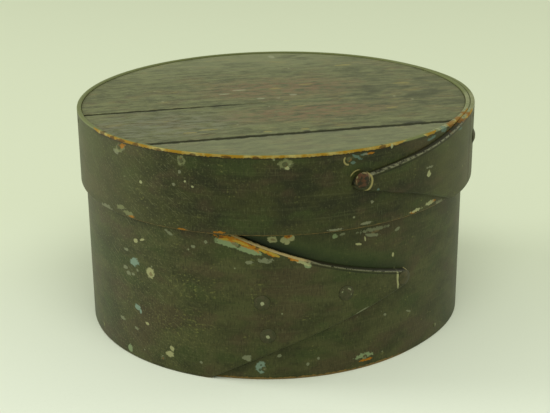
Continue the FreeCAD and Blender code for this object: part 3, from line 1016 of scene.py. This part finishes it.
coat, worn_coat = (seen(58, 60, 35), seen(66, 64, 40)), (seen(60, 60, 36), seen(72, 68, 42))
rust = (seen(44, 40, 24), seen(80, 54, 34))
tack_finishes = {
    "painted": tack_finish("tack_painted", coat, 0.6, NO_RING, (150, 154, 118)),
    "ring": tack_finish("tack_ring", coat, NO_CROWN, 1.7, (120, 126, 92)),
    "tip": tack_finish("tack_rubbed", worn_coat, NO_CROWN, NO_RING, (120, 108, 66)),
    "rusty": tack_finish("tack_rusty", rust, NO_CROWN, 2.3, (124, 116, 78), 0.2),
}

# %% Peg ends
peg_finish, tree = start_material("peg_end")
place = grain_place(tree, 0)
patchy = streaked(place, 1.3, 1.3)
grit = streaked(place, 0.3, 0.3)
colour = lay_over(seen(72, 75, 46), seen(114, 117, 82), fade(patchy, 0.5, 0.64))
colour = lay_over(colour, seen(124, 84, 38), fade(patchy, 0.42, 0.34) * 0.6)
close_material(colour, grit * 0.3 + 0.5, grit, 0.06, 0.2)

# %% Paper floor
floor_paper, tree = start_material("floor_paper")
place = grain_place(tree, 0)
tooth = streaked(place, 1.2, 1.2)
away = vector_calc("DOT_PRODUCT", place, (0.87, 0.30, 0.0), "Value")
# painted shade: the paper is darker away from the camera, where the light falls off
paper = lay_over(seen(231, 237, 224), seen(211, 218, 193), fade(away, -150, 100))
colour = lay_over(paper, seen(219, 225, 209), fade(tooth, 0.5, 0.8) * 0.3)
close_material(colour, tooth * 0.1 + 0.85, tooth, 0.01, 0.3)

# %% [markdown]
# ## The two strips
#
# The base strip starts at its covered end, goes once round, and ends in its finger, which
# points to +X. The lid strip is the other way round: it starts with its finger, which
# points to -X. Sections stand every degree and a half, and closer along a finger, closest
# of all round its nose.

# %% Where the sections stand
section_turn = 1.5            # degrees
finger_spacing = 1.1          # millimetres
finger_bevel = 0.8            # a finger is this much wider at its foot than at its face
nose_angles = (90, 76, 63, 51, 40, 30, 20, 11)
thinnest = 0.3                # where a strip's shaved end stops


def evenly(start, end, step):
    """Even places from start to just before end."""
    count = math.ceil(abs(end - start) / step)
    return [start + (end - start) * i / count for i in range(count)]


def behind_tip(finger, far):
    """Distances behind a tip, from far to the nose."""
    nose = [finger.nose * (1 - math.cos(math.radians(a))) for a in nose_angles]
    return evenly(far, finger.nose, finger_spacing) + nose


# %% Put a section in its place
def finger_span(finger, behind, grow):
    """How far behind the tip a section is, and its lowest and highest point."""
    behind -= grow * max(0.0, 1 - behind / 10)      # the bevel goes round the nose too
    low = finger.height - finger.half(behind, finger.lower, grow)
    high = finger.height + finger.half(behind, finger.upper, grow)
    return behind, low, high


def placing(bottom, top, rows, finger, ending, finger_offset, inner, outer, offset):
    """The place of a station's points. ending is 1 where the finger ends the strip, else -1."""
    def place(station, depth, z):
        angle, behind = station
        low, high = bottom, top
        if behind is not None:
            behind, low, high = finger_span(finger, behind, finger_bevel * depth)
            angle = angle_at(finger.tip - ending * behind, finger_offset) + ending * FULL_TURN
        z = row_height(z, top - bottom, rows, low, high)
        out = outer(angle) + (inner(angle) - outer(angle)) * depth
        return on_form(angle, out, z), (walk_to(angle, offset), angle, z - low, high - z)
    return place


# %% Paint outside, bare wood inside
painted_down = 1.5            # paint reaches this far below the top of the lid's board


def bare_inside(bm):
    """The second material goes on the inner face, up to the lid's board."""
    depth = bm.verts.layers.float["depth"]
    for face in bm.faces:
        covered = min(v.co.z for v in face.verts) < board_top - painted_down
        inner_face = min(v[depth] for v in face.verts) > 0.97
        face.material_index = int(covered and inner_face)


# %% The base strip
base_rows = 40
finger_root = base_finger.upper[0] + 2.0
base_start = next(a / 10 for a in range(-2310, -2030)
                  if lap_depth * base_entry(a / 10) - layer_gap >= thinnest)
root_angle = angle_at(base_finger.tip - finger_root, band_thickness) + FULL_TURN
base_stations = [(angle, None) for angle in evenly(base_start, root_angle, section_turn)]
base_stations += [(None, behind) for behind in behind_tip(base_finger, finger_root)]

base_place = placing(0.0, board_bottom, base_rows, base_finger, 1, band_thickness,
                     base_inner, base_outer, band_thickness)
bm = sweep(board_bottom, base_rows, base_stations, base_place)
lay_maps(bm, band_thickness, lambda angle: angle if angle < BACK else angle - FULL_TURN)
bare_inside(bm)
base_side = finish_piece(bm, "base_side", "base", "base_band", [base_paint, bare_strip])
print("base strip:", len(base_stations), "sections,", len(base_side.data.polygons), "faces")

# %% The lid strip
lid_rows = 18
finger_root = lid_finger.upper[0] + 2.0
root_angle = angle_at(lid_finger.tip + finger_root, lid_lap_face) - FULL_TURN
lid_end = next(a / 10 for a in range(-210, -560, -1)
               if lap_depth * lid_entry(a / 10) - layer_gap >= thinnest)
lid_stations = [(None, behind) for behind in reversed(behind_tip(lid_finger, finger_root))]
lid_stations += [(angle, None) for angle in evenly(root_angle, lid_end, section_turn)] + [(lid_end, None)]

lid_place = placing(lid_bottom, box_height, lid_rows, lid_finger, -1, lid_lap_face,
                    lid_inner, lid_outer, lid_face)
bm = sweep(box_height - lid_bottom, lid_rows, lid_stations, lid_place)
lay_maps(bm, lid_face, lambda angle: angle if angle > BACK - FULL_TURN else angle + FULL_TURN)
bare_inside(bm)
lid_side = finish_piece(bm, "lid_side", "lid", "lid_band", [lid_paint, bare_strip])
print("lid strip:", len(lid_stations), "sections,", len(lid_side.data.polygons), "faces")

# %% [markdown]
# ## The boards
#
# A board is a disc with a fine rim, cut with planes. The lid's board has dried out: a strip
# has split off along the grain, and a second crack runs in from the rim. Its lips are
# bevelled, because a split edge wears round. Then the board is cut across into small
# faces, so that the raised grain of old wood can be shaped in the mesh. Planes cut a flat disc
# more cleanly than a Boolean, which can leave slivers.

# %% A disc that fits the form
disc_segments = 240


def disc(edge_offset, height):
    bm = bmesh.new()
    bmesh.ops.create_circle(bm, cap_ends=True, segments=disc_segments, radius=1.0)
    for v in bm.verts:
        angle = math.degrees(math.atan2(v.co.y, v.co.x))
        v.co = on_form(angle, edge_offset(angle), height)
    return bm


def cut(bm, point, normal, drop_outer=False):
    geometry = bm.verts[:] + bm.edges[:] + bm.faces[:]
    bmesh.ops.bisect_plane(bm, geom=geometry, plane_co=point, plane_no=normal, clear_outer=drop_outer)


# %% The crack
def open_crack(bm):
    """Cut a long wedge along the grain, in from the rim, and take it out."""
    tip = along_grain * crack_end + to_front * crack_distance
    for side in (1, -1):
        mouth = along_grain * -form_half_length + to_front * (crack_distance + side * crack_width / 2)
        flank = (mouth - tip).cross(Vector((0, 0, 1))).normalized()
        cut(bm, tip, flank)
    wedge = [f for f in bm.faces if f.calc_center_median().dot(along_grain) < crack_end
             and abs(f.calc_center_median().dot(to_front) - crack_distance) < crack_width / 2]
    bmesh.ops.delete(bm, geom=wedge, context="FACES")


# %% Give a board its thickness and soft edges
def thicken(bm, thickness, softness):
    made = bmesh.ops.extrude_face_region(bm, geom=bm.faces[:])["geom"]
    lowered = [v for v in made if isinstance(v, bmesh.types.BMVert)]
    bmesh.ops.translate(bm, vec=(0, 0, -thickness), verts=lowered)
    bmesh.ops.recalc_face_normals(bm, faces=bm.faces[:])
    rims = [e for e in bm.edges if len(e.link_faces) == 2 and e.calc_face_angle() > 1.0
            and abs(e.verts[0].co.z - e.verts[1].co.z) < 0.01]
    soften(bm, rims, softness)


board_reach = 72              # cuts reach this far from the middle
grain_long, grain_wide = 34, 2.3
warp_size = 40                # of the board's slow waves


def weather(bm, top, across, along, depth):
    """Cut the board into small faces, and let the soft wood between the grain sink."""
    for direction, step in ((to_front, across), (along_grain, along)):
        count = round(board_reach / step)
        for i in range(-count, count + 1):
            cut(bm, direction * i * step, direction)
    for v in bm.verts:
        if v.co.z > top - 0.6:
            grain = Vector((v.co.dot(along_grain) / grain_long, v.co.dot(to_front) / grain_wide, 0))
            warp = Vector((v.co.x / warp_size, v.co.y / warp_size, 5))
            v.co.z -= sum(depth * (0.5 + 0.5 * noise.noise(field)) for field in (grain, warp))


# %% The lid's board and the strip that split off it
board_softness = 0.3          # of a board's edges
lid_parts = (("lid_board", "lid_top_board", "top_board", 1),
             ("lid_board_strip", "lid_top_strip", "top_strip", -1))
for name, node, slot, side in lid_parts:
    bm = disc(lambda angle: lid_inside - board_clearance, board_top)
    cut(bm, to_front * (split_distance - side * split_width / 2), to_front * side, True)
    if side > 0:
        open_crack(bm)
    thicken(bm, board_top - board_bottom, board_softness)
    weather(bm, board_top, 1.2, 5.0, 0.09)
    bm.normal_update()
    for face in bm.faces:
        face.material_index = int(face.normal.z < -0.5)     # bare wood underneath
    piece = finish_piece(bm, name, "lid", node, [board_paint, bare_lid])
    print(name, len(piece.data.polygons), "faces")

# %% The base's board
def first_turn(angle):
    """The same direction, between one turn before the back and the back."""
    return (angle - BACK) % FULL_TURN + BACK - FULL_TURN


bm = disc(lambda angle: -base_dip(first_turn(angle)) - board_clearance, floor_thickness)
thicken(bm, floor_thickness, board_softness)
weather(bm, floor_thickness, 2.4, 9.0, 0.05)
floor_board = finish_piece(bm, "floor_board", "base", "base_bottom_board", [bare_floor])
print("floor_board", len(floor_board.data.polygons), "faces")

# %% [markdown]
# ## Tacks
#
# A tack is a small forged nail: a domed head, a round shank through both layers, and in the
# base a point that is bent over inside the box. Its profile is a few points, spun once
# round, which gives the head's thin rim and the shank in one mesh. Each head has a few dents
# of its own.

# %% Spin a tack
# Points of a tack's head, each (radius, height).
head = [(0.0, 0.80), (0.7, 0.75), (1.3, 0.61), (1.85, 0.37), (2.3, 0.14), (2.55, 0.04), (2.45, 0.0)]
dent_depth = 0.18             # as a share of the head's height


def tack_mesh(length, clinched, seed):
    """Head up, with its seat at height 0."""
    bm = bmesh.new()
    radius_layer = bm.verts.layers.float.new("from_centre")
    shank = [(0.65, 0.0), (0.65, -length * 0.6), (0.6, -length), (0.0, -length)]
    points = [bm.verts.new((x, 0, z)) for x, z in head + shank]
    edges = [bm.edges.new(pair) for pair in zip(points, points[1:])]
    bmesh.ops.spin(bm, geom=points + edges, cent=(0, 0, 0), axis=(0, 0, 1),
                   angle=math.radians(FULL_TURN), steps=28, use_merge=True)
    bmesh.ops.remove_doubles(bm, verts=bm.verts[:], dist=0.001)
    bmesh.ops.recalc_face_normals(bm, faces=bm.faces[:])
    for v in bm.verts:
        v[radius_layer] = math.hypot(v.co.x, v.co.y)
        if v.co.z > 0.05:
            dent = noise.noise(Vector((v.co.x / 1.3, v.co.y / 1.3, seed * 7.3)))
            v.co.z *= 1 - dent_depth * max(dent, 0.0)
    if clinched:
        bend_point(bm, length)
    return bm


def bend_point(bm, length):
    """The tack's point, bent over and hammered flat."""
    made = bmesh.ops.create_cube(bm, size=1.0)["verts"]
    bmesh.ops.scale(bm, vec=(1.2, 2.4, 0.4), verts=made)
    bmesh.ops.translate(bm, vec=(0, 0.6, -length - 0.2), verts=made)
    tip = [v for v in made if v.co.y > 1.0]
    bmesh.ops.scale(bm, vec=(0.45, 1, 0.7), verts=tip, space=Matrix.Translation((0, 0, length + 0.2)))
    soften(bm, list({e for v in made for e in v.link_edges}), 0.12)


# %% Put something on the band, pointing out
def stand_out(bm, angle, offset, height):
    """Turns +Z to the outward direction and +Y along the band, and moves the mesh there."""
    out = outward(angle)
    along = Vector((0, 0, 1)).cross(out)
    facing = Matrix((along.cross(out), along, out)).transposed()
    bmesh.ops.rotate(bm, cent=(0, 0, 0), matrix=facing, verts=bm.verts[:])
    bmesh.ops.translate(bm, vec=on_form(angle, offset, height), verts=bm.verts[:])


# %% The base's tacks
seat = 0.03                   # a head stands this far off the wood
base_tacks = {
    "base_tip_tack": (-31.2, 28.7, "tip"),
    "base_lap_tack_1": (-53.8, 28.6, "ring"),
    "base_lap_tack_2": (-80.6, 27.5, "painted"),
    "base_lap_tack_3": (-78.9, 16.2, "painted"),
}
for number, (node, (walked, height, finish)) in enumerate(base_tacks.items()):
    angle = angle_at(walked, band_thickness)
    bm = tack_mesh(band_thickness + seat + base_dip(angle) + seat, True, number)
    stand_out(bm, angle, band_thickness + seat, height)
    finish_piece(bm, node + "_nail", "base", node, [tack_finishes[finish]])
print(len(base_tacks), "tacks in the base")

# %% The lid's tacks
lid_tacks = {"lid_tip_tack": (-53.1, 66.4, "rusty"), "lid_lap_tack_1": (14.5, 64.8, "painted")}
for number, (node, (walked, height, finish)) in enumerate(lid_tacks.items()):
    bm = tack_mesh(lid_lap_face + seat - lid_inside, False, number + 10)
    stand_out(bm, angle_at(walked, lid_lap_face), lid_lap_face + seat, height)
    finish_piece(bm, node + "_nail", "lid", node, [tack_finishes[finish]])
print(len(lid_tacks), "tacks in the lid")

# %% [markdown]
# ## Pegs
#
# Twelve small wooden pegs hold each board in its strip. They were whittled, so they are not
# quite round and get a little thinner towards the point, and their cut ends stand just proud
# of the paint. Twenty-four small meshes stay light with ten sides each.

# %% Whittle a peg
peg_count = 12                # in each strip
peg_spacing = 30.0            # degrees
peg_radius = 0.9
peg_bite = 7.0                # how deep a peg goes into its board
peg_proud = 0.12
whittling = 0.12              # how far a peg is from round


def peg_mesh(length, seed):
    """The driven end up, at height 0."""
    bm = bmesh.new()
    bmesh.ops.create_cone(bm, cap_ends=True, segments=10, radius1=peg_radius * 0.7,
                          radius2=peg_radius, depth=length)
    bmesh.ops.translate(bm, vec=(0, 0, -length / 2), verts=bm.verts[:])
    ends = [e for e in bm.edges if e.verts[0].co.z > -0.01 and e.verts[1].co.z > -0.01]
    soften(bm, ends, 0.16)
    for v in bm.verts:
        side = noise.noise(Vector((v.co.x * 2, v.co.y * 2, seed * 3.1)))
        v.co.x *= 1 - whittling * max(side, 0.0)
        v.co.y *= 1 + whittling * min(side, 0.0)
    return bm


def outer_face(outer, angle, first):
    """The outermost layer at an angle that may be reached by more than one turn of a strip."""
    turns = (angle - FULL_TURN, angle, angle + FULL_TURN)
    return max(outer(turn) for turn in turns if first[0] <= turn <= first[1])


def drive_peg(strip, number, angle, face, inner, height, seed):
    """From just outside a face, through the strip and into the board."""
    bm = peg_mesh(face + peg_proud - inner + peg_bite, seed)
    stand_out(bm, angle, face + peg_proud, height)
    node = f"{strip}_peg_{number:02d}"
    finish_piece(bm, node + "_end", strip, node, [peg_finish])


# %% The base's pegs
base_peg_height = 3.8
base_peg_first = -128.5
base_reach = angle_at(base_finger.tip - base_finger.lower[0], band_thickness) + FULL_TURN
for i in range(peg_count):
    angle = first_turn(base_peg_first - i * peg_spacing)
    face = outer_face(base_outer, angle, (base_start, base_reach))
    drive_peg("base", i + 1, angle, face, -base_dip(angle), base_peg_height, i)
print(peg_count, "pegs in the base")

# %% The lid's pegs
lid_peg_height = box_height - 2.8
lid_peg_angles = [-135.9, -152.5, -179.5, -200.5]
while len(lid_peg_angles) < peg_count:
    lid_peg_angles.append(lid_peg_angles[-1] - peg_spacing)
lid_reach = angle_at(lid_finger.tip + lid_finger.upper[0] * 0.75, lid_lap_face) - FULL_TURN
for i, angle in enumerate(lid_peg_angles):
    face = outer_face(lid_outer, angle, (lid_reach, lid_end))
    drive_peg("lid", i + 1, angle, face, lid_inside, lid_peg_height, i + 20)
print(peg_count, "pegs in the lid")

# %% [markdown]
# ## Camera, floor and light
#
# The box is looked down on a little, from its front left. A pale paper floor runs out of
# sight. Three big soft lamps stand round the box: a strong one on the left, a weak one on
# the right and one above the camera. With the even light of the world they leave the top
# lighter than the sides, and a soft shadow to the right.

# %% Camera
camera_data = bpy.data.cameras.new("camera")
camera_data.lens = 78.55
camera_data.sensor_width = 36
camera = new_object("camera", camera_data)
right = Vector((0.4061791, -0.9137580, -0.0080545))
upward = Vector((0.3161936, 0.1322721, 0.9394284))
forward = Vector((0.8573448, 0.3841230, -0.3426506))
facing = Matrix((right, upward, -forward)).transposed().to_4x4()
stand = Vector((-370.396, -165.874, 182.520)) * METRE
camera.matrix_world = Matrix.Translation(stand) @ facing
bpy.context.scene.camera = camera

# %% Floor
bm = bmesh.new()
bmesh.ops.create_circle(bm, cap_ends=True, segments=64, radius=4.0)
floor = mesh_object(bm, "studio_floor", [floor_paper])

# %% World
world = bpy.data.worlds.new("studio")
bpy.context.scene.world = world
world.use_nodes = True
world_light = world.node_tree.nodes["Background"]
world_light.inputs["Color"].default_value = (1.0, 1.04, 0.83, 1.0)
world_light.inputs["Strength"].default_value = 0.54


# %% Lamps
def soft_lamp(name, place, aim, size, power):
    data = bpy.data.lights.new(name, "AREA")
    data.shape = "DISK"
    data.size = size
    data.energy = power
    lamp = new_object(name, data)
    lamp.location = place
    lamp.rotation_euler = (Vector(aim) - Vector(place)).to_track_quat("-Z", "Y").to_euler()


soft_lamp("left_window", (-0.40, 1.5, 0.5), (0, 0, 0.04), 0.8, 14)
soft_lamp("right_window", (0.9, -0.95, 0.5), (0, 0, 0.04), 0.8, 4)
soft_lamp("front_ceiling", (-0.6, -0.35, 1.2), (-0.2, -0.1, 0.0), 1.0, 8)
bpy.context.scene.view_settings.view_transform = "Standard"
